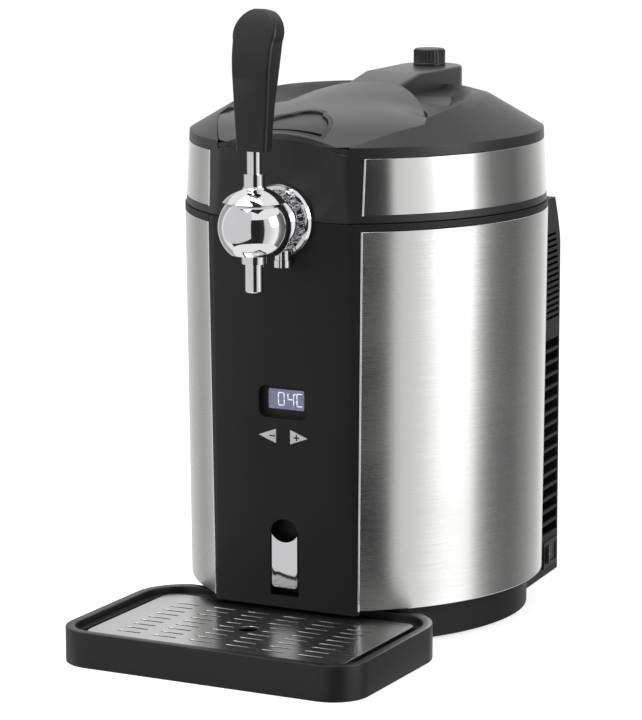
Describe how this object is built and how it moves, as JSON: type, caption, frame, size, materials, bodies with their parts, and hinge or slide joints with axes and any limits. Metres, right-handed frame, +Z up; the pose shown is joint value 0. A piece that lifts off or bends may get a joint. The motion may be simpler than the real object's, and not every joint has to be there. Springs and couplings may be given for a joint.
{
  "type": "mini keg beer dispenser",
  "caption": "Cooled oval tower for a five-litre party keg, with a chrome tap and tall lever, a temperature display, a hinged lid with a raised spine, and a drip tray.",
  "frame": {"origin": "middle of the footprint on the surface it stands on", "axes": "+Z up, -Y towards the person who pulls the tap, +X to the right of a person facing the tap"},
  "size_m": [0.27, 0.4308, 0.4667],
  "materials": {
    "panel_plastic": "matte black ABS with a fine grain",
    "lid_plastic": "satin black moulded ABS",
    "hood_plastic": "satin black moulded ABS",
    "tray_plastic": "satin black moulded ABS",
    "stainless_sheet": "horizontally brushed",
    "stainless_plate": "fine brushed",
    "bright_chrome": "polished plating",
    "steel_fittings": "zinc-plated steel",
    "lever_plastic": "satin black moulded plastic",
    "silver_plastic": "silver-painted plastic",
    "knob_plastic": "ribbed black plastic",
    "soft_rubber": "black rubber",
    "gasket_rubber": "grey silicone rubber",
    "foam": "rigid polyurethane foam",
    "well_aluminium": "plain drawn aluminium",
    "finned_aluminium": "extruded aluminium",
    "ceramic_module": "white ceramic plates",
    "board": "green circuit board",
    "display": "clear window",
    "display_body": "backlit panel, blue-grey",
    "cartridge_steel": "plated steel, bare",
    "regulator_metal": "machined",
    "clear_tube": "translucent tube"
  },
  "bodies": {
    "tower": {"base_foot": "panel_plastic", "rubber_feet": "soft_rubber", "steel_wrap_left": "stainless_sheet", "steel_wrap_right": "stainless_sheet", "front_panel": "panel_plastic", "body_top_ring": "panel_plastic", "keg_well": "well_aluminium", "keg_pad": "soft_rubber", "insulation_jacket": "foam", "rear_cover": "panel_plastic", "cold_block": "finned_aluminium", "peltier_module": "ceramic_module", "heat_sink": "finned_aluminium", "fan_frame": "knob_plastic", "power_converter": "steel_fittings", "power_inlet": "knob_plastic", "switch_frame": "knob_plastic", "display_glass": "display", "display_module": "display_body", "control_board": "board", "tact_switches": "knob_plastic", "drain_hinge_pin": "steel_fittings", "drain_tube": "clear_tube", "tap_bracket": "steel_fittings", "tap_shank": "bright_chrome", "shank_nut": "steel_fittings", "tap_flange": "bright_chrome", "flange_screw": "bright_chrome", "coupling_nut": "bright_chrome", "tap_ball": "bright_chrome", "spout_collar": "bright_chrome", "spout": "bright_chrome", "lever_pivot_pin": "steel_fittings", "hinge_bracket": "panel_plastic", "hinge_pin": "steel_fittings"},
    "lid": {"lid_shell": "lid_plastic", "lid_band_left": "stainless_sheet", "lid_band_right": "stainless_sheet", "lid_hood": "hood_plastic", "latch_tub": "lid_plastic", "latch_spring": "steel_fittings", "lid_inner_cover": "lid_plastic", "lid_gasket": "gasket_rubber", "pressure_regulator": "regulator_metal", "gas_cartridge": "cartridge_steel", "cartridge_clip": "lid_plastic", "hinge_leaf": "lid_plastic"},
    "latch": {"latch_button": "hood_plastic"},
    "knob": {"pressure_knob": "knob_plastic"},
    "lever": {"lever_stem": "bright_chrome", "lever_cap": "bright_chrome", "tap_handle": "lever_plastic"},
    "plunger": {"valve_plunger": "regulator_metal"},
    "minus_key": {"button_minus": "silver_plastic"},
    "plus_key": {"button_plus": "silver_plastic"},
    "flap": {"drain_flap": "bright_chrome"},
    "tray": {"drip_tray": "tray_plastic"},
    "grid": {"drip_grid": "stainless_plate"},
    "rocker": {"power_rocker": "knob_plastic"},
    "fan": {"fan_rotor": "knob_plastic"}
  },
  "joints": [
    {"name": "lid_hinge", "type": "hinge", "parent": "tower", "child": "lid", "pos_m": [0, 0.1963, 0.317], "axis": [-1, 0, 0], "range_deg": [0, 85]},
    {"name": "latch_press", "type": "slide", "parent": "lid", "child": "latch", "axis": [0, 0, -1], "range_m": [0, 0.0025], "stiffness_N_per_m": 400, "springref_m": -0.002, "deforming": ["latch_spring"]},
    {"name": "pressure_knob_turn", "type": "hinge", "parent": "lid", "child": "knob", "pos_m": [0, 0.1589, 0.41], "axis": [0, 0, 1], "range_deg": [0, 270]},
    {"name": "tap_lever", "type": "hinge", "parent": "tower", "child": "lever", "pos_m": [0, -0.1271, 0.3132], "axis": [1, 0, 0], "range_deg": [0, 30]},
    {"name": "valve_slide", "type": "slide", "parent": "tower", "child": "plunger", "axis": [0, 1, 0], "range_m": [0, 0.0027]},
    {"name": "minus_press", "type": "slide", "parent": "tower", "child": "minus_key", "axis": [0, 1, 0], "range_m": [0, 0.001], "stiffness_N_per_m": 250, "springref_m": -0.0008},
    {"name": "plus_press", "type": "slide", "parent": "tower", "child": "plus_key", "axis": [0, 1, 0], "range_m": [0, 0.001], "stiffness_N_per_m": 250, "springref_m": -0.0008},
    {"name": "drain_flap_hinge", "type": "hinge", "parent": "tower", "child": "flap", "pos_m": [0, -0.0793, 0.0453], "axis": [1, 0, 0], "range_deg": [0, 45]},
    {"name": "tray_slide", "type": "slide", "parent": "tower", "child": "tray", "axis": [0, -1, 0], "range_m": [0, 0.15]},
    {"name": "grid_tip", "type": "hinge", "parent": "tray", "child": "grid", "pos_m": [0, -0.0741, 0.0205], "axis": [-1, 0, 0], "range_deg": [0, 12]},
    {"name": "power_rocker_tip", "type": "hinge", "parent": "tower", "child": "rocker", "pos_m": [0.08868, 0.18896, 0.0175], "axis": [0, 0, -1], "range_deg": [0, 16]},
    {"name": "fan_spin", "type": "hinge", "parent": "tower", "child": "fan", "pos_m": [0, 0.2023, 0.19], "axis": [0, 1, 0], "continuous": true}
  ],
  "couplings": [
    {"joint": "valve_slide", "follows": "tap_lever", "m_per_rad": 0.005}
  ]
}
